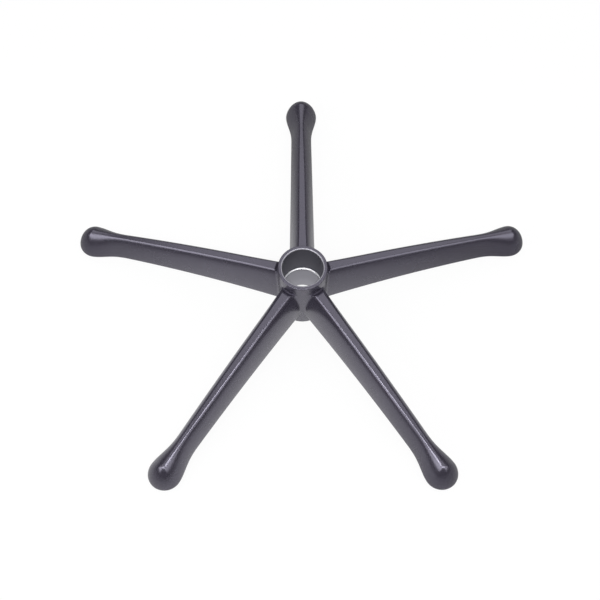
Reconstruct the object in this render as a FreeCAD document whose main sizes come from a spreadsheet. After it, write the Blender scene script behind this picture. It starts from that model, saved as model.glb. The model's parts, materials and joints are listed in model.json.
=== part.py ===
"""Five-star base of an office chair: one aluminium die casting.

Five arms slope from a hub tube down to domed ends. Each end stands on a boss with a socket for a caster's stem,
and each arm is a ribbed channel underneath. The hub has a stepped bore for the chair's column: a plain upper
bore, a turned shoulder, and a tapered seat below it.
Heights are measured up from the plane of the five caster faces. The origin is the centre of the hub's rim.
"""
import FreeCAD, Part
import math
import os

import Sketcher

ARM_COUNT = 5

# name, size in millimetres, what it measures
SIZES = (
    ("hub_radius", 32.2, "outside of the hub tube"),
    ("hub_top", 114.5, "height of the hub's rim"),
    ("hub_foot", 18.0, "height of the hub's lower edge"),
    ("hub_chamfer", 1.0, "chamfer of the hub's two outer edges"),
    ("bore_radius", 26.5, "upper bore, which clears the column's tube"),
    ("bore_depth", 51.5, "from the rim down to the shoulder"),
    ("bore_chamfer", 0.5, "lead-in at the rim"),
    ("seat_radius", 24.4, "tapered seat at the shoulder"),
    ("seat_slope", 0.0251, "radius that the seat loses for each millimetre down"),
    ("valley_floor", 93.2, "height of the ring hollow between the hub and the arms' top strips"),
    ("valley_foot", 35.0, "distance from the hub's axis at which the strips' end slope meets its floor"),
    ("valley_reach", 38.2, "distance from the hub's axis at which the top strips begin"),
    ("root_reach", 44.0, "distance of the arm's root section from the hub's axis"),
    ("root_top", 96.8, "height of the top strip there"),
    ("root_foot", 43.0, "height of the lower edges there"),
    ("root_strip_half", 3.6, "half the flat of the top strip there"),
    ("root_half", 17.0, "half the width over the lower edges there"),
    ("root_flare", 1.5, "what each side of the strip gains at the hub's wall"),
    ("flare_reach", 92.0, "distance from the hub's axis at which this gain has died out"),
    ("middle_reach", 150.0, "the same five sizes at the middle of the arm"),
    ("middle_top", 76.9, ""),
    ("middle_foot", 35.0, ""),
    ("middle_strip_half", 3.2, ""),
    ("middle_half", 15.5, ""),
    ("neck_reach", 250.0, "the same five sizes at the neck before the domed end"),
    ("neck_top", 53.4, ""),
    ("neck_foot", 19.2, ""),
    ("neck_strip_half", 2.3, ""),
    ("neck_half", 14.3, ""),
    ("end_reach", 300.0, "the same five sizes at the domed end, on the caster's axis"),
    ("end_top", 43.1, ""),
    ("end_foot", 9.5, ""),
    ("end_strip_half", 3.3, ""),
    ("end_half", 21.9, ""),
    ("strip_round", 3.5, "rounding between the top strip and the sides"),
    ("crown_round", 5.0, "the same rounding on the domed end"),
    ("side_radius", 150.0, "outward curve of the arm's sides"),
    ("end_side_radius", 64.0, "outward curve of the domed end's side"),
    ("wall", 3.6, "side wall of the channel under the arm"),
    ("roof", 7.0, "metal above the channel"),
    ("rib", 3.5, "thickness of a rib across the channel"),
    ("rib_rise", 12.0, "how far a rib's lower edge stays above the arm's lower edges"),
    ("boss_radius", 15.0, "caster boss under the domed end"),
    ("socket_radius", 5.5, "socket for the caster's stem"),
    ("socket_depth", 26.0, "depth of the socket"),
    ("socket_chamfer", 0.8, "lead-in of the socket"),
)
SIZE = {name: value for name, value, note in SIZES}

# shares of a stretch at which the loft is given a section: along the arm, then along the flare to its end
ARM_STEPS = (0.0, 0.1, 0.27, 0.6, 1.0)
FLARE_STEPS = (0.25, 0.5, 0.75)
# shares of the arm at which a rib stands, and of the flare at which the channel stops
RIB_STEPS = (0.2, 0.45, 0.7)
CHANNEL_STOP = 0.36
# how late the flare's widths grow and how early its heights level out, as powers; 1 would be even
LATE_GROWTH = 1.5
EARLY_LEVEL = 1.35
# how far a cut or a rib runs past the face that it meets, so that no two faces coincide
OVERLAP = 1.0
# two lengths closer than this are the same length
SAME = 1e-4

# how a sketch numbers the places on a line or arc, and its own axes and origin
START, END, CENTRE = range(1, 4)
LEVEL_AXIS, UPRIGHT_AXIS = -1, -2
ORIGIN = (LEVEL_AXIS, START)


class Length:
    """A length as a number and as the formula that ties it to the sheet."""

    def __init__(self, number, formula):
        self.number = number
        self.formula = formula

    def __add__(self, other):
        return Length(self.number + other.number, f"({self.formula} + {other.formula})")

    def __sub__(self, other):
        return Length(self.number - other.number, f"({self.formula} - {other.formula})")

    def __mul__(self, share):
        return Length(self.number * share, f"({self.formula} * ({share:.8f}))")

    def inverse(self):
        return Length(1 / self.number, f"(1 / {self.formula})")


def size(name):
    return Length(SIZE[name], f"Sheet.{name}")


def fixed(number):
    return Length(number, f"({number:.6f})")


def between(first, last, share):
    return first + (last - first) * share


class Section:
    """The arm's outline across its length: a flat top strip, rounded shoulders and leaning, bowed sides."""

    HEIGHTS = ("top", "foot")
    WIDTHS = ("strip_half", "half", "shoulder", "bow")

    def __init__(self, reach, **sizes):
        self.reach = reach
        self.__dict__.update(sizes)

    @classmethod
    def named(cls, place, shoulder, side_radius):
        sizes = {name: size(f"{place}_{name}") for name in ("top", "foot", "strip_half", "half")}
        return cls(size(f"{place}_reach"), shoulder=size(shoulder), bow=size(side_radius).inverse(), **sizes)

    @classmethod
    def mixed(cls, reach, sections, heights, widths):
        """Shares of several sections added up; heights and widths have shares of their own."""
        sizes = {}
        for names, shares in ((cls.HEIGHTS, heights), (cls.WIDTHS, widths)):
            for name in names:
                first, *rest = [getattr(s, name) * share for s, share in zip(sections, shares)]
                sizes[name] = sum(rest, first)
        return cls(reach, **sizes)


def along_arm(root, middle, neck, reach):
    """A section of the arm: each size follows the parabola through the three named sections.

    Towards the hub the strip spreads in a hollow curve.
    """
    a, b, c = root.reach.number, middle.reach.number, neck.reach.number
    r = reach.number
    shares = (
        (r - b) * (r - c) / ((a - b) * (a - c)),
        (r - a) * (r - c) / ((b - a) * (b - c)),
        (r - a) * (r - b) / ((c - a) * (c - b)),
    )
    section = Section.mixed(reach, (root, middle, neck), shares, shares)
    left = (SIZE["flare_reach"] - r) / (SIZE["flare_reach"] - SIZE["hub_radius"])
    section.strip_half = section.strip_half + size("root_flare") * max(left, 0.0) ** 2
    return section


def along_flare(neck, end, share):
    """A section between neck and domed end: widths grow late and then level out, and heights level out."""
    widths = (share * share * (3 - 2 * share)) ** LATE_GROWTH
    heights = 1 - (1 - share) ** EARLY_LEVEL
    reach = between(neck.reach, end.reach, share)
    return Section.mixed(reach, (neck, end), (1 - heights, heights), (1 - widths, widths))


def make_sheet(doc):
    sheet = doc.addObject("Spreadsheet::Sheet", "Sheet")
    for row, (name, value, note) in enumerate(SIZES, start=1):
        sheet.set(f"A{row}", name)
        sheet.set(f"B{row}", str(value))
        sheet.set(f"C{row}", note)
        sheet.setAlias(f"B{row}", name)
    doc.recompute()


def origin_feature(body, role):
    return next(f for f in body.Origin.OriginFeatures if f.Role == role)


def new_sketch(body, name, plane, offset=None, axis="z"):
    """A sketch on one of the body's origin planes, shifted along one of its own axes."""
    sketch = body.newObject("Sketcher::SketchObject", name)
    sketch.AttachmentSupport = (origin_feature(body, plane), [""])
    sketch.MapMode = "FlatFace"
    if offset is not None:
        sketch.setExpression(f"AttachmentOffset.Base.{axis}", offset.formula)
    return sketch


def rule(sketch, kind, *where):
    sketch.addConstraint(Sketcher.Constraint(kind, *where))


def bind(sketch, name, kind, where, length):
    """A dimension whose value follows the sheet."""
    index = sketch.addConstraint(Sketcher.Constraint(kind, *where, length.number))
    sketch.renameConstraint(index, name)
    sketch.setExpression(f"Constraints.{name}", length.formula)


def line(x0, y0, x1, y1):
    return Part.LineSegment(FreeCAD.Vector(x0, y0, 0), FreeCAD.Vector(x1, y1, 0))


def arc(x, y, radius, start, end):
    circle = Part.Circle(FreeCAD.Vector(x, y, 0), FreeCAD.Vector(0, 0, 1), radius)
    return Part.ArcOfCircle(circle, start, end)


def join(sketch, smooth, corners):
    """Joins pieces of a profile end to start: tangent where smooth, meeting at a corner elsewhere."""
    for first, second in smooth:
        rule(sketch, "Tangent", first, END, second, START)
    for first, second in corners:
        rule(sketch, "Coincident", first, END, second, START)


def polygon(sketch, points):
    """A closed outline of straight lines; points are pairs of lengths that the sheet drives."""
    count = len(points)
    places = [(x.number, y.number) for x, y in points]
    sketch.addGeometry([line(*places[k], *places[(k + 1) % count]) for k in range(count)], False)
    join(sketch, [], [(k, (k + 1) % count) for k in range(count)])
    for k, (x, y) in enumerate(points):
        if x.number == 0:
            rule(sketch, "PointOnObject", k, START, UPRIGHT_AXIS)
        elif x.number > 0:
            bind(sketch, f"x_{k}", "DistanceX", (*ORIGIN, k, START), x)
        else:
            bind(sketch, f"x_{k}", "DistanceX", (k, START, *ORIGIN), x * -1)
        if y.number == 0:
            rule(sketch, "PointOnObject", k, START, LEVEL_AXIS)
        else:
            bind(sketch, f"y_{k}", "DistanceY", (*ORIGIN, k, START), y)
    return sketch


class Side:
    """The right-hand side of a section: a bowed flank up from the lower edge, and a shoulder tangent to it."""

    def __init__(self, section):
        self.top, self.foot = section.top.number, section.foot.number
        self.half, self.strip = section.half.number, section.strip_half.number
        self.shoulder, self.radius = section.shoulder.number, 1 / section.bow.number
        self.level = self.top - self.shoulder
        dx, dy = self.strip - self.half, self.level - self.foot
        span = math.hypot(dx, dy)
        inner = self.radius - self.shoulder
        along = (self.radius ** 2 - inner ** 2 + span ** 2) / (2 * span)
        across = math.sqrt(self.radius ** 2 - along ** 2)
        self.x = self.half + (along * dx - across * dy) / span
        self.y = self.foot + (along * dy + across * dx) / span
        self.low_turn = math.atan2(self.foot - self.y, self.half - self.x)
        self.high_turn = math.atan2(self.level - self.y, self.strip - self.x)

    def right(self):
        return [
            arc(self.x, self.y, self.radius, self.low_turn, self.high_turn),
            arc(self.strip, self.level, self.shoulder, self.high_turn, math.pi / 2),
        ]

    def left(self):
        low, high = math.pi - self.low_turn, math.pi - self.high_turn
        return [
            arc(-self.strip, self.level, self.shoulder, math.pi / 2, high),
            arc(-self.x, self.y, self.radius, high, low),
        ]


def arm_section(body, name, section):
    """The whole outline, across the arm."""
    sketch = new_sketch(body, name, "XZ_Plane", section.reach * -1)
    side = Side(section)
    bottom, right_side, right_shoulder, strip, left_shoulder, left_side = range(6)
    sketch.addGeometry([
        line(-side.half, side.foot, side.half, side.foot),
        *side.right(),
        line(side.strip, side.top, -side.strip, side.top),
        *side.left(),
    ], False)
    join(sketch, [(k, k + 1) for k in (right_side, right_shoulder, strip, left_shoulder)],
         [(bottom, right_side), (left_side, bottom)])
    rule(sketch, "Horizontal", bottom)
    rule(sketch, "Horizontal", strip)
    rule(sketch, "Equal", right_shoulder, left_shoulder)
    rule(sketch, "Equal", right_side, left_side)
    bind(sketch, "top", "DistanceY", (*ORIGIN, strip, START), section.top)
    bind(sketch, "foot", "DistanceY", (*ORIGIN, bottom, START), section.foot)
    bind(sketch, "strip_right", "DistanceX", (*ORIGIN, right_shoulder, CENTRE), section.strip_half)
    bind(sketch, "strip_left", "DistanceX", (left_shoulder, CENTRE, *ORIGIN), section.strip_half)
    bind(sketch, "half_right", "DistanceX", (*ORIGIN, bottom, END), section.half)
    bind(sketch, "half_left", "DistanceX", (bottom, START, *ORIGIN), section.half)
    bind(sketch, "shoulder", "Radius", (right_shoulder,), section.shoulder)
    bind(sketch, "side_radius", "Radius", (right_side,), section.bow.inverse())
    return sketch


def end_profile(body, name, section):
    """The outer half of the outline, beside the caster's upright axis."""
    sketch = new_sketch(body, name, "YZ_Plane", section.reach, "x")
    side = Side(section)
    bottom, flank, crown, cap, core = range(5)
    sketch.addGeometry([
        line(0, side.foot, side.half, side.foot),
        *side.right(),
        line(side.strip, side.top, 0, side.top),
        line(0, side.top, 0, side.foot),
    ], False)
    join(sketch, [(flank, crown), (crown, cap)], [(bottom, flank), (cap, core), (core, bottom)])
    rule(sketch, "Horizontal", bottom)
    rule(sketch, "Horizontal", cap)
    rule(sketch, "PointOnObject", core, START, UPRIGHT_AXIS)
    rule(sketch, "PointOnObject", core, END, UPRIGHT_AXIS)
    bind(sketch, "top", "DistanceY", (*ORIGIN, cap, START), section.top)
    bind(sketch, "foot", "DistanceY", (*ORIGIN, bottom, START), section.foot)
    bind(sketch, "crown_half", "DistanceX", (*ORIGIN, crown, CENTRE), section.strip_half)
    bind(sketch, "half", "DistanceX", (*ORIGIN, bottom, END), section.half)
    bind(sketch, "crown_round", "Radius", (crown,), section.shoulder)
    bind(sketch, "side_radius", "Radius", (flank,), section.bow.inverse())
    return sketch


def turned_profile(body, name, offset, points):
    """A closed profile of straight lines beside an upright axis; points are pairs (radius, height)."""
    return polygon(new_sketch(body, name, "YZ_Plane", offset, "x"), points)


def turn(body, kind, name, sketch, angle=360.0):
    """A profile revolved about its own upright axis, half of the angle to each side."""
    feature = body.newObject(f"PartDesign::{kind}", name)
    feature.Profile = sketch
    feature.ReferenceAxis = (sketch, ["V_Axis"])
    feature.Angle = angle
    feature.Midplane = True
    return feature


def loft(body, kind, name, sketches):
    feature = body.newObject(f"PartDesign::{kind}", name)
    feature.Profile = sketches[0]
    feature.Sections = sketches[1:]
    return feature


def add_boss(body):
    zero = fixed(0.0)
    radius, height = size("boss_radius"), size("end_foot") + fixed(OVERLAP)
    profile = turned_profile(body, "boss_profile", size("end_reach"), [
        (zero, zero), (radius, zero), (radius, height), (zero, height),
    ])
    turn(body, "Revolution", "caster_boss", profile)


def add_arm(body, root, middle, neck, end):
    """The arm and its domed end: a loft from inside the hub to the caster's axis, closed by half a turn."""
    inside = size("hub_radius") * 2 - size("root_reach")
    reaches = [inside, size("hub_radius")]
    reaches += [between(root.reach, neck.reach, share) for share in ARM_STEPS]
    sections = [along_arm(root, middle, neck, reach) for reach in reaches]
    sections += [along_flare(neck, end, share) for share in FLARE_STEPS]
    sections += [end]
    sketches = [arm_section(body, f"arm_section_{k}", s) for k, s in enumerate(sections)]
    loft(body, "AdditiveLoft", "arm", sketches)
    turn(body, "Revolution", "domed_end", end_profile(body, "domed_end_profile", end), 180.0)


def channel_section(body, name, section, inset, rise):
    """The hollow's outline at one place along the arm: moved into the walls by an inset, its foot raised."""
    side = size("wall") - inset
    upper_half = section.strip_half + section.shoulder - side
    lean = (section.half - section.strip_half - section.shoulder).number / (section.top - section.foot).number
    lower_half = section.half - side - rise * lean
    top, foot = section.top - size("roof") + inset, section.foot + rise
    return polygon(new_sketch(body, name, "XZ_Plane", section.reach * -1), [
        (lower_half * -1, foot), (lower_half, foot), (upper_half, top), (upper_half * -1, top),
    ])


def cut_channel(body, root, middle, neck, end):
    """The hollow under the arm, and the ribs that stand across it."""
    place = between(neck.reach, end.reach, CHANNEL_STOP)
    stop = Section.mixed(place, (neck, end), (1 - CHANNEL_STOP, CHANNEL_STOP), (1.0, 0.0))
    cuts = [channel_section(body, f"channel_section_{k}", section, fixed(0.0), fixed(-OVERLAP))
            for k, section in enumerate((root, middle, neck, stop))]
    loft(body, "SubtractiveLoft", "channel", cuts)
    for k, share in enumerate(RIB_STEPS):
        place = along_arm(root, middle, neck, between(root.reach, neck.reach, share))
        pad = body.newObject("PartDesign::Pad", f"rib_{k}")
        pad.Profile = channel_section(body, f"rib_section_{k}", place, fixed(OVERLAP), size("rib_rise"))
        pad.SideType = "Symmetric"
        pad.setExpression("Length", "Sheet.rib")


def cut_socket(body):
    zero = fixed(0.0)
    radius, lead, depth = size("socket_radius"), size("socket_chamfer"), size("socket_depth")
    profile = turned_profile(body, "socket_profile", size("end_reach"), [
        (zero, zero), (radius + lead, zero), (radius, lead), (radius, depth), (zero, depth),
    ])
    turn(body, "Groove", "caster_socket", profile)


def repeat_arms(body):
    body.Document.recompute()
    pattern = body.newObject("PartDesign::PolarPattern", "five_arms")
    pattern.TransformMode = "Whole shape"
    pattern.Axis = (origin_feature(body, "Z_Axis"), [""])
    pattern.Angle = 360.0
    pattern.Occurrences = ARM_COUNT
    body.Tip = pattern


def cut_valley(body, lip):
    """A ring round the hub that ends the top strips in a slope just short of the hub's wall."""
    zero, floor, over = fixed(0.0), size("valley_floor"), size("hub_top")
    foot, reach = size("valley_foot"), size("valley_reach")
    turn(body, "Groove", "valley", turned_profile(body, "valley_profile", None, [
        (zero, floor), (foot, floor), (reach, lip), (reach, over), (zero, over),
    ]))


def circles_at(shape, radius, height):
    """Names of the shape's circles of a radius at a height."""
    names = []
    for k, edge in enumerate(shape.Edges, start=1):
        if not isinstance(edge.Curve, Part.Circle):
            continue
        level = abs(edge.Curve.Center.z - height) < SAME
        if level and abs(edge.Curve.Radius - radius) < SAME:
            names.append(f"Edge{k}")
    return names


def chamfer_circle(body, name, base, radius, height, amount):
    """A chamfer on the circle of one radius at one height."""
    body.Document.recompute()
    feature = body.newObject("PartDesign::Chamfer", name)
    feature.Base = (base, circles_at(base.Shape, radius.number, height.number))
    feature.setExpression("Size", amount.formula)
    return feature


def add_hub(body):
    """The hub's tube and its stepped bore."""
    zero = fixed(0.0)
    radius, top, foot = size("hub_radius"), size("hub_top"), size("hub_foot")
    turn(body, "Revolution", "hub", turned_profile(body, "hub_profile", None, [
        (zero, foot), (radius, foot), (radius, top), (zero, top),
    ]))
    shoulder = top - size("bore_depth")
    seat_length = shoulder - foot
    seat_foot = Length(
        SIZE["seat_radius"] - SIZE["seat_slope"] * seat_length.number,
        f"(Sheet.seat_radius - Sheet.seat_slope * {seat_length.formula})",
    )
    bore = turn(body, "Groove", "column_bore", turned_profile(body, "bore_profile", None, [
        (zero, foot), (seat_foot, foot), (size("seat_radius"), shoulder), (size("bore_radius"), shoulder),
        (size("bore_radius"), top), (zero, top),
    ]))
    edge = chamfer_circle(body, "rim_chamfer", bore, radius, top, size("hub_chamfer"))
    edge = chamfer_circle(body, "hub_foot_chamfer", edge, radius, foot, size("hub_chamfer"))
    chamfer_circle(body, "bore_lead_in", edge, size("bore_radius"), top, size("bore_chamfer"))


def make_casting(doc):
    body = doc.addObject("PartDesign::Body", "base_casting")
    body.Label = "base_casting"
    root, middle, neck = (Section.named(place, "strip_round", "side_radius") for place in ("root", "middle", "neck"))
    end = Section.named("end", "crown_round", "end_side_radius")
    add_boss(body)
    add_arm(body, root, middle, neck, end)
    cut_channel(body, root, middle, neck, end)
    cut_socket(body)
    repeat_arms(body)
    cut_valley(body, along_arm(root, middle, neck, size("valley_reach")).top)
    add_hub(body)
    body.setExpression("Placement.Base.z", "-Sheet.hub_top")
    doc.recompute()
    return body


def check(doc, bodies):
    for thing in doc.Objects:
        if "Invalid" in thing.State or "Error" in thing.State:
            raise RuntimeError(f"{thing.Name} did not build: {thing.State}")
    for body in bodies:
        if body.Shape.isNull() or not body.Shape.isValid() or len(body.Shape.Solids) != 1:
            raise RuntimeError(f"{body.Label} is not one sound solid")


def main():
    doc = FreeCAD.newDocument("five_star_base")
    make_sheet(doc)
    bodies = [make_casting(doc)]
    check(doc, bodies)
    os.makedirs("parts", exist_ok=True)
    for body in bodies:
        body.Shape.exportStep(f"parts/{body.Label}.step")
        box = body.Shape.BoundBox
        corners = [round(v, 1) for v in (box.XMin, box.YMin, box.ZMin, box.XMax, box.YMax, box.ZMax)]
        print(body.Label, "volume", round(body.Shape.Volume), "mm3, faces", len(body.Shape.Faces), "box", corners)


main()
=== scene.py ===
# %% [markdown]
# # The five-star base of an office chair
# The base is one aluminium die casting under a dark satin powder coat. Five arms slope from a hub tube down
# to domed ends that take the casters, and each arm is a ribbed channel underneath. A machinist has turned
# only the inside of the hub, so bare metal shows there and nowhere else.
#
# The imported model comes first. It gives the true size and the places of the bore and the sockets. The
# casting is then drawn again on top of those sizes, with finer curves and the small roundings that a
# casting has.

import json
import math

import bmesh
import bpy
import numpy as np
from mathutils import Matrix, Vector


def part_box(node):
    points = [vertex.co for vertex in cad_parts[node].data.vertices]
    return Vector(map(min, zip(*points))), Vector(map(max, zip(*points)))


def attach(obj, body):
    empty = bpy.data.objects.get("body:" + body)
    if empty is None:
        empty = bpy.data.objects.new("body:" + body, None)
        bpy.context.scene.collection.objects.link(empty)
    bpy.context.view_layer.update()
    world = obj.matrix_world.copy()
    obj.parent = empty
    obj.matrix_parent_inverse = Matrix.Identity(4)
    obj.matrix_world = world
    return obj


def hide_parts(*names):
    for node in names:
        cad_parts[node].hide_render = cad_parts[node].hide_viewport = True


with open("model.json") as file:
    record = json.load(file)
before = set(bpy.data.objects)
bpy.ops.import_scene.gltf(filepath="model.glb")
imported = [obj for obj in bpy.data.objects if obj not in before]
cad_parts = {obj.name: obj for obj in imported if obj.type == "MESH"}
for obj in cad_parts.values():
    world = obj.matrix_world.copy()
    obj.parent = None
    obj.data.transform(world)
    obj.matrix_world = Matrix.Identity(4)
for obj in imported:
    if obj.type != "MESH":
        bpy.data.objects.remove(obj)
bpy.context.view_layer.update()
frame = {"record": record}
mounts = {mount["name"]: mount for mount in frame["record"]["mounts"]}

# %% [markdown]
# ## Sizes
# All sizes are in millimetres, and heights are counted up from the plane of the five caster faces, because
# that is how one would measure the real thing on a table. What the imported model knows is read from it. The
# rest are the casting's own sizes. An arm needs five of them at three places and at its end: the heights of
# its top and of its lower edge, half the width of the top strip, half the whole width, and how full the
# flanks are. A size that only one step needs is given at that step.

# %% Sizes of the hub, the arms and the caster ends
MM = 0.001
low_corner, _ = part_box("base_casting")
hub_top = -low_corner.z / MM
bore_radius = mounts["hub_bore"]["dims"]["r_mm"]
socket_radius = mounts["caster_socket_1"]["dims"]["r_mm"]
socket_place = Vector(mounts["caster_socket_1"]["pos_m"])
end_reach = math.hypot(socket_place.x, socket_place.y) / MM
arm_count = sum(name.startswith("caster_socket") for name in mounts)

hub_radius = 32.2
ARM = {
    "reach": (44.0, 150.0, 250.0),  # distance from the hub's axis at the root, the middle and the neck
    "top": (96.8, 76.9, 53.4),
    "foot": (43.0, 35.0, 19.2),
    "strip": (3.0, 2.6, 1.4),
    "half": (17.0, 15.5, 14.3),
    "fullness": (1.83, 1.76, 1.65),
}
END = {"top": 43.1, "foot": 9.5, "strip": 0.6, "half": 21.9, "fullness": 1.58}
root_reach, _, neck_reach = ARM["reach"]
print(f"{arm_count} arms, casters {end_reach:.1f} mm from the axis, rim {hub_top:.1f} mm high")

# %% [markdown]
# ## How an arm changes along its length
# A pattern maker draws an arm as a few sections and lets them flow into each other. Here each size follows
# the parabola through its three values, and past the neck it eases over to the value at the domed end.
# Widths grow late and heights level out early, which gives the arm its waist before the round end. Close to
# the hub the top strip spreads a little.

# %% Sizes of the section at any distance from the hub
LATE_GROWTH, EARLY_LEVEL = 1.5, 1.35
root_flare, flare_reach = 1.5, 92.0


def through(values, reach):
    """The parabola that takes the three values at the three named distances (Lagrange's formula)."""
    a, b, c = ARM["reach"]
    first = (reach - b) * (reach - c) / ((a - b) * (a - c))
    second = (reach - a) * (reach - c) / ((b - a) * (b - c))
    third = (reach - a) * (reach - b) / ((c - a) * (c - b))
    return values[0] * first + values[1] * second + values[2] * third


def section_sizes(reach):
    """Every size of the section as arrays: the parabola up to the neck, then an eased mix with the end's.

    Towards the hub the strip spreads with the square of the distance from the place where that begins.
    """
    share = np.clip((reach - neck_reach) / (end_reach - neck_reach), 0, 1)
    late = (share ** 2 * (3 - 2 * share)) ** LATE_GROWTH
    early = 1 - (1 - share) ** EARLY_LEVEL
    inner = np.minimum(reach, neck_reach)
    sizes = {}
    for name, mix in (("top", early), ("foot", early), ("strip", late), ("half", late), ("fullness", late)):
        sizes[name] = (1 - mix) * through(ARM[name], inner) + mix * END[name]
    spread = np.clip((flare_reach - reach) / (flare_reach - hub_radius), 0, None)
    sizes["strip"] = sizes["strip"] + root_flare * spread ** 2
    return sizes


probe = section_sizes(np.array(ARM["reach"] + (end_reach,)))
print("height at root, middle, neck and end:", np.round(probe["top"], 1))

# %% [markdown]
# ## One half of the section
# The outline starts at the middle of the channel's roof, runs down the inner wall, round the lower edge and
# up the flank to the middle of the top strip. The flank stands upright at its foot and leans in more and
# more until it lies flat, which a superellipse does in one formula. Every point has a column of its own, so
# that the columns line up along the whole arm and make a grid.

# %% The half section as columns of a grid
wall, roof, roof_spread = 3.6, 7.0, 2.6
edge_round = 1.4
FLANK_SPACING = 1.5  # above 1, the flank's points lie closer together towards the strip, where it bends most
COLUMNS = {"roof": 4, "wall": 5, "rim": 3, "edge": 5, "flank": 26, "strip": 4}
PIECES = list(COLUMNS)
piece_of = np.repeat(np.arange(len(PIECES)), list(COLUMNS.values()))
along = np.concatenate([np.arange(count) / count for count in COLUMNS.values()])
piece_of, along = np.append(piece_of, PIECES.index("strip")), np.append(along, 1.0)


def half_section(reach, depth, hole):
    """Distance from the arm's middle plane and height for each row and column.

    The flank is a quarter of a superellipse: the share of the width to the power of the fullness and the
    share of the height to the same power add up to one. The lower edge is a parabola between two points one
    rounding away from the corner. The channel's corner slides up the inner wall with depth, from 0, no
    channel, to 1, and the underside begins at the hole's edge.
    """
    s = section_sizes(reach)
    top, foot, strip, half = (s[name] for name in ("top", "foot", "strip", "half"))
    rise, lean, power = top - foot, half - strip, 2 / s["fullness"]
    first = np.arcsin((edge_round / rise) ** (1 / power))
    edge_y = strip + lean * np.cos(first) ** power
    inner = half - wall
    corner_y = inner + (strip + roof_spread - inner) * depth
    corner_z = foot + (rise - roof) * depth
    t = along
    turn = first + (np.pi / 2 - first) * (1 - (1 - t) ** FLANK_SPACING)
    start, tip, stop = (1 - t) ** 2, 2 * t * (1 - t), t ** 2
    y = [
        hole + (corner_y - hole) * t,
        corner_y + (inner - corner_y) * t,
        inner + (half - edge_round - inner) * t,
        start * (half - edge_round) + tip * half + stop * edge_y,
        strip + lean * np.cos(turn) ** power,
        strip * (1 - t),
    ]
    z = [
        corner_z + 0 * t,
        corner_z + (foot - corner_z) * t,
        foot + 0 * t,
        foot + stop * edge_round,
        foot + rise * np.sin(turn) ** power,
        top + 0 * t,
    ]
    return np.choose(piece_of, y), np.choose(piece_of, z)


print(len(along), "points in a half section")

# %% [markdown]
# ## The valley round the hub
# The top strips stop just short of the hub and slope down into a shallow ring. A lathe would make it, so it
# is a profile about the hub's axis: down the hub's wall, along the floor, up the slope and out along the
# strip, with every corner softened. Any point of an arm that stands higher than this profile is lowered to
# it.

# %% Outlines with soft corners, and the profile of the valley
CORNER_STEPS = 5
valley_floor, valley_foot, valley_reach = 95.0, 34.0, 37.4
valley_corner, valley_hollow, valley_lip = 0.2, 1.6, 1.8


def rounded(corners):
    """A closed outline whose corners are parabolas that start and end one rounding away from the corner.

    Each corner is (radius, height, rounding). Also returned is the corner that each point comes from.
    """
    corners = np.array(corners)
    place, cut = corners[:, :2], corners[:, 2:]
    back, ahead = np.roll(place, 1, 0) - place, np.roll(place, -1, 0) - place
    start = place + cut * back / np.linalg.norm(back, axis=1, keepdims=True)
    stop = place + cut * ahead / np.linalg.norm(ahead, axis=1, keepdims=True)
    t = np.linspace(0, 1, CORNER_STEPS)[:, None, None]
    curve = start * (1 - t) ** 2 + place * 2 * t * (1 - t) + stop * t ** 2
    return curve.transpose(1, 0, 2).reshape(-1, 2), np.repeat(np.arange(len(corners)), CORNER_STEPS)


def valley_profile():
    """Distance and height of the softened valley, from the hub's wall to a place on the strip."""
    out = valley_reach + 2 * valley_lip
    top = section_sizes(np.array([hub_radius, valley_reach, out]))["top"]
    profile, _ = rounded([
        (hub_radius, top[0], 0),
        (hub_radius, valley_floor, valley_corner),
        (valley_foot, valley_floor, valley_hollow),
        (valley_reach, top[1], valley_lip),
        (out, top[2], 0),
    ])
    return profile


valley = valley_profile()
print("the strips begin", round(valley[:, 1].max() - valley_floor, 1), "mm above the valley at most")

# %% [markdown]
# ## Rows along the arm
# A row is one section. Rows lie close together where the shape changes fast: next to the hub, and at the
# ends of the channel and the ribs, where two rows almost coincide and so give a sharp step. Near the caster
# the rows follow equal angles on the boss, so that the boss can be joined on point by point.

# %% Distances of the rows, and how deep the channel is at each
STEP = 0.01
TURN_STEPS = 48
ROWS = {"root": 12, "arm": 60, "flare": 22}
root_fillet, channel_stop, boss_radius = 6.0, 268.0, 15.0
rib, rib_rise, rib_steps = 3.5, 12.0, np.array((0.2, 0.45, 0.7))
lead_reach = hub_radius + root_fillet
rib_places = root_reach + (neck_reach - root_reach) * rib_steps
step_places = np.concatenate([[root_reach, channel_stop], rib_places - rib / 2, rib_places + rib / 2])
boss_turns = np.linspace(np.pi / 2, 0, TURN_STEPS // 2 + 1)
rows = np.sort(np.concatenate([
    np.linspace(lead_reach, root_reach, ROWS["root"]),
    np.linspace(root_reach, neck_reach, ROWS["arm"])[1:],
    np.linspace(neck_reach, end_reach - boss_radius, ROWS["flare"])[1:-1],
    end_reach - boss_radius * np.sin(boss_turns),
    step_places - STEP, step_places + STEP,
]))


def channel_depth(reach):
    """Share of the channel that is open: all of it between its ends, less under a rib, none elsewhere."""
    s = section_sizes(reach)
    at_rib = (np.abs(reach[:, None] - rib_places) < rib / 2).any(1)
    inside = (reach > root_reach) & (reach < channel_stop)
    return np.where(inside, np.where(at_rib, rib_rise / (s["top"] - roof - s["foot"]), 1.0), 0.0)


depths = channel_depth(rows)
holes = np.sqrt(np.clip(boss_radius ** 2 - (end_reach - rows) ** 2, 0, None))
print(len(rows), "rows,", int((depths == 1).sum()), "of them over the open channel")

# %% [markdown]
# ## Where the arm grows out of the hub
# On a casting no two walls meet in a sharp inner corner. Seen from above, each flank leaves the hub in a
# small arc that touches both the hub's circle and the flank. For every height this is the same school
# geometry, so it is one formula for the whole grid. The height of the flank depends on where the arc ends,
# and the arc on the flank, so the formula runs a few rounds until both agree. Rows near the hub lie on
# circles about its axis and straighten out further along.

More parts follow.
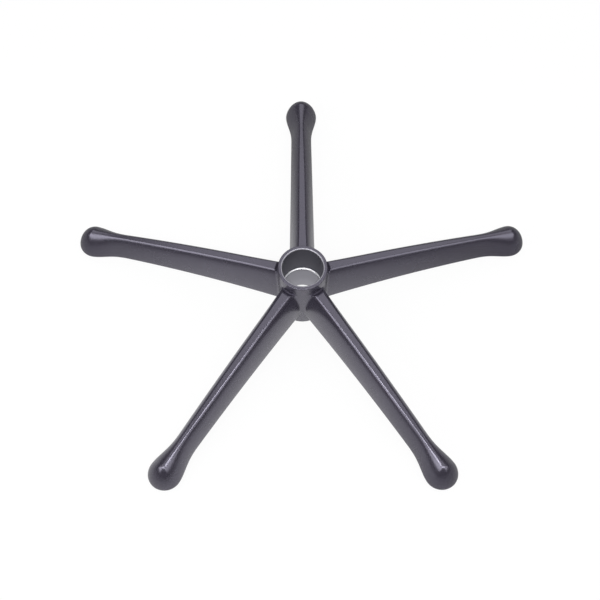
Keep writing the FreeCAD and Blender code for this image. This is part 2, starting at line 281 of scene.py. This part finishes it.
# %% Rows of the fillet, the lead and the arm
FILLET_STEPS, LEAD_STEPS = 9, 18
FILLET_ROUNDS, ARM_ROUNDS = 3, 2
full_width = 8.0  # from this distance off the middle plane, the fillet has its full radius


def fillet_rows():
    """Arcs from the hub's circle to the flank; the radius shrinks to nothing at the arm's middle plane.

    The arc's centre is one radius off the flank and one radius off the hub's circle.
    """
    t = np.linspace(0, 1, FILLET_STEPS)[:, None]
    reach = np.full((FILLET_STEPS, len(along)), hub_radius)
    for _ in range(FILLET_ROUNDS):
        y, z = half_section(reach, 0.0, 0.0)
        radius = root_fillet * np.minimum(y / full_width, 1)
        centre = np.sqrt((hub_radius + radius) ** 2 - (y + radius) ** 2)
        first = np.arctan2(-(y + radius), -centre)
        turn = first + (-np.pi / 2 - first) * t
        reach = centre + radius * np.cos(turn)
    return reach, y + radius * (1 + np.sin(turn)), z


def arm_rows():
    """Rows from the valley to the caster's axis: circles about the hub near it, straight further out."""
    straight = np.clip((rows - root_reach) / (flare_reach - root_reach), 0, 1)[:, None]
    reach = np.repeat(rows[:, None], len(along), 1)
    for _ in range(ARM_ROUNDS):
        y, z = half_section(reach, depths[:, None], holes[:, None])
        round_hub = np.sqrt(np.clip(rows[:, None] ** 2 - y ** 2, 0, None))
        reach = round_hub + (rows[:, None] - round_hub) * straight
    return reach, y, z


def lead_rows(fillet, arm):
    """Rows that go in even steps from the end of the fillet to the arm's first row."""
    t = np.linspace(0, 1, LEAD_STEPS + 1)[1:-1, None]
    reach = fillet[-1] + (arm[0] - fillet[-1]) * t
    return reach, *half_section(reach, 0.0, 0.0)


fillet_x, fillet_y, _ = fillet_rows()
print("the fillet ends", round(np.hypot(fillet_x, fillet_y).max() - hub_radius, 1), "mm from the hub's wall")

# %% [markdown]
# ## The whole arm
# The rows of one side, an arc of copies of the last row about the caster's axis, and the mirrored rows of
# the other side follow each other, so one grid wraps the whole arm and its dome. It begins a little inside
# the hub's wall, where its end is closed and out of sight.

# %% One arm as a grid of points
SINK = 1.0


def arm_grid():
    """Points of one arm along +X: out on one side, round the domed end, and back on the other side.

    Two rows inside the hub's wall close the arm, and the valley lowers what stands above it.
    """
    fillet, arm = fillet_rows(), arm_rows()
    lead = lead_rows(fillet[0], arm[0])
    x, y, z = (np.concatenate(parts) for parts in zip(fillet, lead, arm))
    sunk = (hub_radius - SINK) / hub_radius
    x = np.concatenate([[np.full(len(along), hub_radius - SINK)], x[:1] * sunk, x])
    y = np.concatenate([[np.zeros(len(along))], y[:1] * sunk, y])
    z = np.concatenate([z[:1], z[:1], z])
    z = np.minimum(z, np.interp(np.hypot(x, y), valley[:, 0], valley[:, 1], right=np.inf))
    side, other = np.stack([x, y, z], 2), np.stack([x, -y, z], 2)
    turn = np.linspace(np.pi / 2, -np.pi / 2, TURN_STEPS + 1)[1:-1, None]
    dome = np.stack([end_reach + y[-1] * np.cos(turn), y[-1] * np.sin(turn), z[-1] + 0 * turn], 2)
    return np.concatenate([side, dome, other[::-1]])


arm = arm_grid()
print("arm grid of", arm.shape[0], "by", arm.shape[1], "points")

# %% [markdown]
# ## Grids become faces
# Two neighbouring rows and two neighbouring columns make one four-sided face. The hub and the bosses are
# turned shapes: a profile is carried round an upright axis, and the last ring is joined to the first.

# %% Faces of a grid, and a profile turned about an axis
def grid_faces(row_count, column_count, ring=False):
    """Four corners of every cell of a grid, counted row by row; a ring joins the last row to the first."""
    last = row_count if ring else row_count - 1
    i, j = np.meshgrid(np.arange(last), np.arange(column_count - 1), indexing="ij")
    k = (i + 1) % row_count
    corners = (i * column_count + j, k * column_count + j, k * column_count + j + 1, i * column_count + j + 1)
    return np.stack(corners, 2).reshape(-1, 4)


def turned(profile, steps, centre=0.0):
    """Points of a profile of (radius, height) pairs at equal angles round the upright axis at (centre, 0)."""
    angle = np.arange(steps)[:, None] * math.tau / steps
    radius, height = np.transpose(profile)
    return np.stack([centre + radius * np.cos(angle), radius * np.sin(angle), height + 0 * angle], 2)


print(len(grid_faces(*arm.shape[:2])), "faces on one arm")

# %% [markdown]
# ## The boss and its socket
# Under each domed end stands a short round boss with the hole for a caster's stem. Its first ring is the
# edge of the hole that the arm's underside leaves open, so the two grids share their points and can be
# welded.

# %% Boss and socket under the domed end
socket_depth, socket_lead = 26.0, 0.8
ROUND_MIDDLE = 0.3  # the share of a rounding by which its middle lies inside the sharp corner


def boss_grid():
    """The turned boss along +X: down its wall, across its face, up the socket and in to the axis."""
    cut = edge_round / 2
    profile = [
        (boss_radius, END["foot"]),
        (boss_radius, cut),
        (boss_radius - cut * ROUND_MIDDLE, cut * ROUND_MIDDLE),
        (boss_radius - cut, 0),
        (socket_radius + socket_lead, 0),
        (socket_radius, socket_lead),
        (socket_radius, socket_depth),
        (0, socket_depth),
    ]
    points = turned(profile, 2 * TURN_STEPS, end_reach)
    points[:, 0, 2] = section_sizes(np.minimum(points[:, 0, 0], end_reach))["foot"]
    return points


boss = boss_grid()
print("boss grid of", boss.shape[0], "by", boss.shape[1], "points")

# %% [markdown]
# ## The hub
# The hub is a plain tube with a softened rim. Inside, the upper bore ends on a narrow shoulder that slopes
# inwards, and below it the seat for the chair's column tapers by about one and a half degrees. The inside
# is turned, so its faces are marked here for materials of their own: the shoulder is bright bare metal, the
# rim's inner edge and the seat are turned finer in a greyer copy of the metal, and the wall of the upper bore
# gets a darker copy still. The greyer tone is painted shade on the seat, and the darker one is painted shade
# on the upper wall.

# %% Hub tube with its stepped bore
HUB_STEPS = 160
hub_foot, bore_depth = 18.0, 51.5
seat_radius, seat_slope, shoulder_drop = 24.4, 0.0251, 1.2
shoulder_height = hub_top - bore_depth
seat_foot = seat_radius - seat_slope * (shoulder_height - hub_foot)
hub_corners = [
    (seat_foot, hub_foot, 0.5),
    (hub_radius, hub_foot, 1.4),
    (hub_radius, hub_top, 1.6),
    (bore_radius, hub_top, 1.7),
    (bore_radius, shoulder_height, 0.3),
    (seat_radius, shoulder_height - shoulder_drop, 0.4),
]
BORE_CORNER, SHOULDER_CORNER, SEAT_CORNER = 3, 4, 5
COATED, BARE, FINE_SHADED, BORE_SHADE = range(4)
hub_profile, hub_corner_of = rounded(hub_corners)
hub_profile = np.concatenate([hub_profile, hub_profile[:1]])
hub = turned(hub_profile, HUB_STEPS)
hub_faces = grid_faces(*hub.shape[:2], ring=True)
hub_finish = np.full(len(hub_corner_of), COATED)
# The seat's greyer metal and the upper wall's darker metal are painted shade inside the bore.
for corner, kind in ((BORE_CORNER, FINE_SHADED), (SHOULDER_CORNER, BARE), (SEAT_CORNER, FINE_SHADED)):
    hub_finish[hub_corner_of == corner] = kind
hub_finish[np.flatnonzero(hub_corner_of == BORE_CORNER)[-1]] = BORE_SHADE
hub_finish = np.tile(hub_finish, HUB_STEPS)
print(len(hub_faces), "faces on the hub,", int((hub_finish != COATED).sum()), "of them turned")

# %% [markdown]
# ## One casting
# The hub and the five arms go into one mesh, because the real thing is one piece. The faces of a closed
# shape point outwards when its signed volume is positive, so the hub and the arm are each measured and
# turned round where needed. The arm is then repeated at equal angles, the first one over the first caster
# socket.

# %% Points and faces of the hub and the five arms
def outward(points, faces):
    """Faces turned so that the signed volume is positive: the sum of corner products over all triangles."""
    corner = points[faces]
    volume = 0.0
    for second, third in ((1, 2), (2, 3)):
        volume += np.einsum("ij,ij->i", corner[:, 0], np.cross(corner[:, second], corner[:, third])).sum() / 6
    return faces if volume > 0 else faces[:, ::-1]


def about_hub(points, angle):
    """Points turned about the hub's axis."""
    c, s = math.cos(angle), math.sin(angle)
    return points @ np.array([[c, s, 0], [-s, c, 0], [0, 0, 1]])


arm_points = np.concatenate([arm.reshape(-1, 3), boss.reshape(-1, 3)])
boss_faces = grid_faces(*boss.shape[:2], ring=True) + arm.shape[0] * arm.shape[1]
arm_faces = outward(arm_points, np.concatenate([grid_faces(*arm.shape[:2]), boss_faces]))
first_arm = math.atan2(socket_place.y, socket_place.x)
points, faces = [hub.reshape(-1, 3)], [outward(hub.reshape(-1, 3), hub_faces)]
for k in range(arm_count):
    faces.append(arm_faces + sum(map(len, points)))
    points.append(about_hub(arm_points, first_arm + math.tau * k / arm_count))
points, faces = np.concatenate(points), np.concatenate(faces)
finish = np.concatenate([hub_finish, np.full(len(faces) - len(hub_faces), COATED)])
print(len(points), "points before welding")

# %% [markdown]
# Welding closes the seams between the two halves of an arm, the pole of each dome and the ring round each
# boss. Counting the edges afterwards shows whether anything is still open or turned inside out. Edges
# sharper than a set angle stay crisp in the shading, such as those of the ribs, and all others are shaded
# smooth.

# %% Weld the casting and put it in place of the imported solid
WELD = STEP / 10
SHARP_ANGLE = math.radians(38)
mesh = bpy.data.meshes.new("star_base")
mesh.from_pydata(((points - (0, 0, hub_top)) * MM).tolist(), [], faces.tolist())
mesh.polygons.foreach_set("material_index", finish.astype(np.int32))
shape = bmesh.new()
shape.from_mesh(mesh)
bmesh.ops.remove_doubles(shape, verts=shape.verts, dist=WELD * MM)
open_edges = sum(not edge.is_manifold for edge in shape.edges)
torn_edges = sum(not edge.is_contiguous for edge in shape.edges)
volume = shape.calc_volume(signed=True)
shape.to_mesh(mesh)
shape.free()
mesh.shade_smooth()
mesh.set_sharp_from_angle(angle=SHARP_ANGLE)
print(len(mesh.polygons), "faces,", open_edges, "open edges,", torn_edges, "edges with a face turned round")
print("volume of the hub and the arms:", round(volume * 1e6, 1), "cubic centimetres")

star_base = bpy.data.objects.new("star_base", mesh)
bpy.context.scene.collection.objects.link(star_base)
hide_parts("base_casting")
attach(star_base, "root")

# %% [markdown]
# ## Finishes
# A material here is a small graph of nodes. Its colours are written as the hex values that one would pick
# on a screen, and one function turns them into the linear light that Blender reckons with. Another adds a
# node, sets it and links it.

# %% Helpers for materials
def colour(text):
    """A hex colour in sRGB as linear red, green, blue and a full alpha."""
    parts = np.array([int(text[k:k + 2], 16) for k in (1, 3, 5)]) / 255
    linear = np.where(parts <= 0.04045, parts / 12.92, ((parts + 0.055) / 1.055) ** 2.4)
    return (*linear.tolist(), 1.0)


def add(tree, kind, inputs=None, **settings):
    """A new node with its settings; an input is a value or the socket that it is linked to."""
    node = tree.nodes.new(kind)
    for name, value in settings.items():
        setattr(node, name, value)
    for name, value in (inputs or {}).items():
        if isinstance(value, bpy.types.NodeSocket):
            tree.links.new(value, node.inputs[name])
        else:
            node.inputs[name].default_value = value
    return node


def new_material(name):
    """A new material, its tree, and its principled shader, which is joined to the output."""
    material = bpy.data.materials.new(name)
    material.use_nodes = True
    tree = material.node_tree
    return material, tree, tree.nodes["Principled BSDF"]


print("a middle grey of #808080 is", round(colour("#808080")[0], 3), "in linear light")

# %% [markdown]
# ### Powder coat
# Powder is sprayed on dry and melted in an oven. It flows out to a satin skin with a faint orange peel,
# waves of two or three millimetres, and the matting agent in it leaves a much finer grain. Both are bumps
# here. The grain of a real coat is about a tenth of a millimetre and would not show, so it is drawn some
# thirteen times coarser. To the eye the coat is a dark violet grey whose highlights are clear but soft at
# their edges, so it gets a strong, slightly blurred reflection over a dark base colour.

# %% Graphite powder coat
ORANGE_PEEL = 3.0 * MM
GRAIN = 1.3 * MM
CLOUDS = 45 * MM


def powder_coat():
    """Dark satin skin: grain varies the colour, wide clouds vary the gloss, and peel and grain are bumps."""
    material, tree, shader = new_material("graphite_powder_coat")
    place = add(tree, "ShaderNodeTexCoord").outputs["Object"]
    peel = add(tree, "ShaderNodeTexNoise", {"Vector": place, "Scale": 1 / ORANGE_PEEL, "Detail": 1.0})
    grain = add(tree, "ShaderNodeTexNoise", {"Vector": place, "Scale": 1 / GRAIN, "Detail": 2.0})
    clouds = add(tree, "ShaderNodeTexNoise", {"Vector": place, "Scale": 1 / CLOUDS, "Detail": 3.0})
    tint = add(tree, "ShaderNodeValToRGB", {"Fac": grain.outputs["Fac"]})
    dark, light = tint.color_ramp.elements
    dark.position, light.position = 0.3, 0.7
    dark.color, light.color = colour("#2a2730"), colour("#33303a")
    gloss = add(tree, "ShaderNodeMapRange", {"Value": clouds.outputs["Fac"], "To Min": 0.24, "To Max": 0.3})
    wave = add(tree, "ShaderNodeBump", {
        "Height": peel.outputs["Fac"], "Strength": 0.10, "Distance": 0.15 * MM,
    })
    bump = add(tree, "ShaderNodeBump", {
        "Height": grain.outputs["Fac"], "Normal": wave.outputs["Normal"],
        "Strength": 0.18, "Distance": 0.12 * MM,
    })
    shader.inputs["IOR"].default_value = 1.6
    shader.inputs["Specular IOR Level"].default_value = 1.0
    shader.inputs["Specular Tint"].default_value = colour("#eeeaff")
    tree.links.new(tint.outputs["Color"], shader.inputs["Base Color"])
    tree.links.new(gloss.outputs["Result"], shader.inputs["Roughness"])
    tree.links.new(bump.outputs["Normal"], shader.inputs["Normal"])
    return material


mesh.materials.append(powder_coat())
print("outside:", mesh.materials[COATED].name)

# %% [markdown]
# ### Turned aluminium
# The lathe's tool leaves fine grooves round the bore. Bands that depend on height draw them on the walls,
# and rings that depend on the distance from the axis draw them on the shoulder, so the two waves are added.
# The grooves of a finishing cut lie about a tenth of a millimetre apart and are drawn some nine times
# wider. To the eye the metal is pale and mirrors the lamps in a broad, milky sheen. The shoulder has the
# metal's own pale tone. The seat gets a greyer copy and the wall above it a darker copy still, which is
# painted shade inside the bore, so the three differ in tone and roughness.

# %% Turned aluminium in three tones, two of them painted shade
TOOL_FEED = 0.9 * MM
WAVE_FACTOR = 20  # the wave texture multiplies a length by this before it takes the sine


def turned_aluminium(name, tone, low, high):
    """Metal of one tone whose roughness runs between two values from groove to groove."""
    material, tree, shader = new_material(name)
    place = add(tree, "ShaderNodeTexCoord").outputs["Object"]
    groove = {
        "Vector": place, "Scale": math.tau / (WAVE_FACTOR * TOOL_FEED), "Distortion": 0.3, "Detail": 1.0,
    }
    bands = add(tree, "ShaderNodeTexWave", groove, wave_type="BANDS", bands_direction="Z")
    rings = add(tree, "ShaderNodeTexWave", groove, wave_type="RINGS", rings_direction="Z")
    both = add(tree, "ShaderNodeMath", {0: bands.outputs["Fac"], 1: rings.outputs["Fac"]}, operation="ADD")
    gloss = add(tree, "ShaderNodeMapRange", {
        "Value": both.outputs["Value"], "From Max": 2.0, "To Min": low, "To Max": high,
    })
    bump = add(tree, "ShaderNodeBump", {
        "Height": both.outputs["Value"], "Strength": 0.08, "Distance": 0.05 * MM,
    })
    shader.inputs["Base Color"].default_value = colour(tone)
    shader.inputs["Metallic"].default_value = 1.0
    tree.links.new(gloss.outputs["Result"], shader.inputs["Roughness"])
    tree.links.new(bump.outputs["Normal"], shader.inputs["Normal"])
    return material


mesh.materials.append(turned_aluminium("turned_aluminium", "#f2f2f4", 0.5, 0.6))
# Painted shade: the seat gets a greyer copy of the metal and the upper bore wall a darker one.
mesh.materials.append(turned_aluminium("fine_turned_aluminium_seat_painted_shade", "#a6a5ad", 0.42, 0.55))
mesh.materials.append(turned_aluminium("aluminium_bore_painted_shade", "#77767f", 0.45, 0.55))
print("inside:", [mesh.materials[kind].name for kind in (BARE, FINE_SHADED, BORE_SHADE)])

# %% [markdown]
# ## Floor, light and camera
# The base stands on a sheet of white paper under soft light, as in a catalogue. To the eye matt paper is an
# even white without a sheen. Where the camera sees the floor, and where the metal mirrors it, it is mostly
# self-lit, which keeps it white and leaves a faint shadow under the arms. In reflections it carries a painted
# pool of light: it is brightest just in front of the hub, a little to the left, and falls off with the
# distance, so the flanks near the hub are paler than the domed ends.

# %% Floor
floor_half = 4.0
SELF_LIT = 0.93
# Centre of a painted pool of light on the floor, which only reflections show.
painted_glow_centre = (-0.06, -0.1, low_corner.z)
near_edge, far_edge = 0.13, 0.36
near_loss, far_loss = 0.15, 0.7


def white_floor():
    """Matt white that mixes with its own glow for camera, transmission and glossy rays.

    For glossy rays the glow loses a share that grows with the distance from the centre of a painted pool of
    light.
    """
    material, tree, shader = new_material("white_paper_floor")
    shader.inputs["Base Color"].default_value = colour("#eeeeee")
    shader.inputs["Roughness"].default_value = 0.9
    path = add(tree, "ShaderNodeLightPath")
    mirrored = path.outputs["Is Glossy Ray"]
    direct = add(tree, "ShaderNodeMath", {
        0: path.outputs["Is Camera Ray"], 1: path.outputs["Is Transmission Ray"],
    }, operation="MAXIMUM")
    seen = add(tree, "ShaderNodeMath", {0: direct.outputs["Value"], 1: mirrored}, operation="MAXIMUM")
    share = add(tree, "ShaderNodeMath", {0: seen.outputs["Value"], 1: SELF_LIT}, operation="MULTIPLY")
    place = add(tree, "ShaderNodeTexCoord").outputs["Object"]
    away = add(tree, "ShaderNodeVectorMath", {0: place, 1: painted_glow_centre}, operation="DISTANCE")
    change = add(tree, "ShaderNodeMapRange", {
        "Value": away.outputs["Value"], "From Min": near_edge, "From Max": far_edge,
        "To Min": -near_loss, "To Max": -far_loss,
    })
    level = add(tree, "ShaderNodeMath", {
        0: mirrored, 1: change.outputs["Result"], 2: 1.0,
    }, operation="MULTIPLY_ADD")
    glow = add(tree, "ShaderNodeEmission", {"Color": colour("#ffffff"), "Strength": level.outputs["Value"]})
    mix = add(tree, "ShaderNodeMixShader", {
        "Fac": share.outputs["Value"], 1: shader.outputs["BSDF"], 2: glow.outputs["Emission"],
    })
    tree.links.new(mix.outputs["Shader"], tree.nodes["Material Output"].inputs["Surface"])
    return material


corners = np.array([(-1, -1), (1, -1), (1, 1), (-1, 1)]) * floor_half
floor_mesh = bpy.data.meshes.new("floor")
floor_mesh.from_pydata([(x, y, low_corner.z) for x, y in corners.tolist()], [], [(0, 1, 2, 3)])
floor_mesh.materials.append(white_floor())
floor = bpy.data.objects.new("floor", floor_mesh)
bpy.context.scene.collection.objects.link(floor)
print("floor", 2 * floor_half, "metres wide, at a height of", round(low_corner.z, 4))

# %% [markdown]
# A large lamp hangs above and behind the base and lights the top strips and the rim. A long, narrow one in
# front and a lamp on each side draw the bright lines along the rounded shoulders, the left one stronger
# than the right. Between the lamps the surroundings stay dim, and dimmest near the horizon, so that the
# flanks turn dark just under the shoulders and pale towards the white floor.

# %% Lamps and surroundings
lamp_aim = Vector((0, 0, -0.05))
horizon_level, zenith_level = 0.03, 0.18


def softbox(name, place, width, height, watts):
    """A rectangular area lamp that looks from its place towards the base."""
    lamp = bpy.data.lights.new(name, "AREA")
    lamp.shape, lamp.size, lamp.size_y, lamp.energy = "RECTANGLE", width, height, watts
    holder = bpy.data.objects.new(name, lamp)
    holder.location = place
    holder.rotation_euler = (lamp_aim - Vector(place)).to_track_quat("-Z", "Y").to_euler()
    bpy.context.scene.collection.objects.link(holder)


softbox("top_lamp", (0.1, 1.0, 1.42), width=2.6, height=2.7, watts=21.5)
softbox("front_lamp", (0, -0.95, 1.95), width=1.9, height=0.45, watts=32.0)
softbox("left_lamp", (-1.5, -0.75, 1.2), width=1.8, height=1.1, watts=20.0)
softbox("right_lamp", (1.5, -0.75, 1.2), width=1.8, height=1.1, watts=13.0)
world = bpy.data.worlds.new("studio")
world.use_nodes = True
sky = world.node_tree
direction = add(sky, "ShaderNodeSeparateXYZ", {
    "Vector": add(sky, "ShaderNodeTexCoord").outputs["Generated"],
})
dim = add(sky, "ShaderNodeMapRange", {
    "Value": direction.outputs["Z"], "To Min": horizon_level, "To Max": zenith_level,
})
camera_ray = add(sky, "ShaderNodeLightPath").outputs["Is Camera Ray"]
strength = add(sky, "ShaderNodeMath", {0: dim.outputs["Result"], 1: camera_ray}, operation="MAXIMUM")
sky.links.new(strength.outputs["Value"], sky.nodes["Background"].inputs["Strength"])
sky.nodes["Background"].inputs["Color"].default_value = colour("#ffffff")
bpy.context.scene.world = world
bpy.context.scene.view_settings.view_transform = "Standard"
print("lamps:", [(lamp.name, round(lamp.energy, 1)) for lamp in bpy.data.lights])

# %% [markdown]
# The camera looks down on the base from a steep angle through a short telephoto lens. Its place was found
# by laying the outline of the solid over that of the photograph, and it is turned very slightly about its
# line of sight.

# %% Camera
elevation, azimuth, tilt = (math.radians(angle) for angle in (64.08, -0.977, 0.788))
camera_distance = 1754.8 * MM
aim = Vector((-2.90, 3.25, -102.45)) * MM
focal_length, sensor_width = 77.5, 36.0
back = Vector((
    math.sin(azimuth) * math.cos(elevation), -math.cos(azimuth) * math.cos(elevation), math.sin(elevation),
))
level_right = Vector((math.cos(azimuth), math.sin(azimuth), 0))
level_up = back.cross(level_right)
right = level_right * math.cos(tilt) + level_up * math.sin(tilt)
up = level_up * math.cos(tilt) - level_right * math.sin(tilt)
lens = bpy.data.cameras.new("camera")
lens.sensor_width, lens.lens = sensor_width, focal_length
camera = bpy.data.objects.new("camera", lens)
facing = Matrix((right, up, back)).transposed().to_4x4()
camera.matrix_world = Matrix.Translation(aim + back * camera_distance) @ facing
bpy.context.scene.collection.objects.link(camera)
bpy.context.scene.camera = camera
print("camera at", [round(value, 3) for value in camera.matrix_world.translation])
